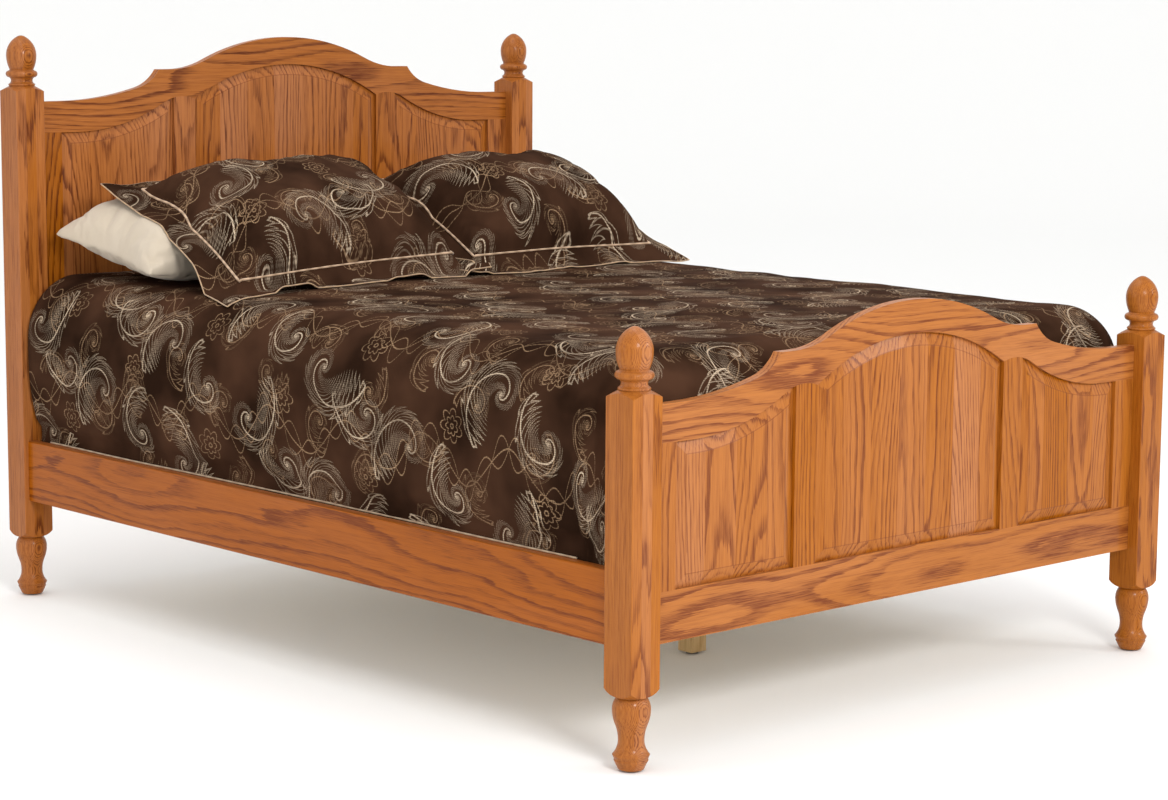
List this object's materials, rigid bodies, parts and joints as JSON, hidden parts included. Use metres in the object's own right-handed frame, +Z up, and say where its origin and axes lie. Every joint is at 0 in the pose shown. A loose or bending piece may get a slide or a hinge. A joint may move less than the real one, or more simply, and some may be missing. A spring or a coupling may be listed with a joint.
{
  "type": "panel bed",
  "caption": "Bed with arched, raised-panel headboard and footboard between turned posts, hook-on side rails, slats, mattress, comforter and pillows.",
  "frame": {"origin": "on the floor, under the middle of the bed's overall box", "axes": "+X across the bed to the right seen from the foot, +Y from the foot to the head, +Z up"},
  "size_m": [1.63, 2.209, 1.355],
  "materials": {
    "oak_post": "red oak, glued up from strips, turned and lacquered semi-gloss in a honey stain",
    "oak_frame": "flat-sawn red oak, semi-gloss lacquer over a honey stain",
    "oak_panel": "edge-glued red oak panel, semi-gloss lacquer over a honey stain",
    "pine_support": "plain softwood, unfinished",
    "zinc_steel": "zinc-plated steel",
    "glide_plastic": "moulded nylon",
    "ticking": "quilted cotton ticking",
    "jacquard": "woven dark brown satin jacquard with fine gold scrolls",
    "white_cotton": "washed white cotton percale"
  },
  "bodies": {
    "root": {"centre_leg_1": "pine_support", "centre_leg_2": "pine_support", "centre_leg_3": "pine_support", "centre_leg_glides": "glide_plastic", "centre_leg_screws": "zinc_steel", "cleat_screws": "zinc_steel", "comforter": "jacquard", "foot_post_left": "oak_post", "foot_post_right": "oak_post", "footboard_bottom_rail": "oak_frame", "footboard_crest_rail": "oak_frame", "footboard_mullion_left": "oak_frame", "footboard_mullion_right": "oak_frame", "footboard_panel_centre": "oak_panel", "footboard_panel_left": "oak_panel", "footboard_panel_right": "oak_panel", "footboard_stile_left": "oak_frame", "footboard_stile_right": "oak_frame", "foundation": "ticking", "head_post_left": "oak_post", "head_post_right": "oak_post", "headboard_bottom_rail": "oak_frame", "headboard_crest_rail": "oak_frame", "headboard_mullion_left": "oak_frame", "headboard_mullion_right": "oak_frame", "headboard_panel_centre": "oak_panel", "headboard_panel_left": "oak_panel", "headboard_panel_right": "oak_panel", "headboard_stile_left": "oak_frame", "headboard_stile_right": "oak_frame", "hook_plate_foot_left": "zinc_steel", "hook_plate_foot_right": "zinc_steel", "hook_plate_head_left": "zinc_steel", "hook_plate_head_right": "zinc_steel", "hook_plate_screws": "zinc_steel", "mattress": "ticking", "pillow_left": "white_cotton", "pillow_right": "white_cotton", "post_glides": "glide_plastic", "sham_left": "jacquard", "sham_right": "jacquard", "side_rail_left": "oak_frame", "side_rail_right": "oak_frame", "slat_1": "pine_support", "slat_2": "pine_support", "slat_3": "pine_support", "slat_4": "pine_support", "slat_5": "pine_support", "slat_cleat_left": "pine_support", "slat_cleat_right": "pine_support", "slat_screws": "zinc_steel", "slot_plate_foot_left": "zinc_steel", "slot_plate_foot_right": "zinc_steel", "slot_plate_head_left": "zinc_steel", "slot_plate_head_right": "zinc_steel", "slot_plate_screws": "zinc_steel"}
  },
  "joints": []
}
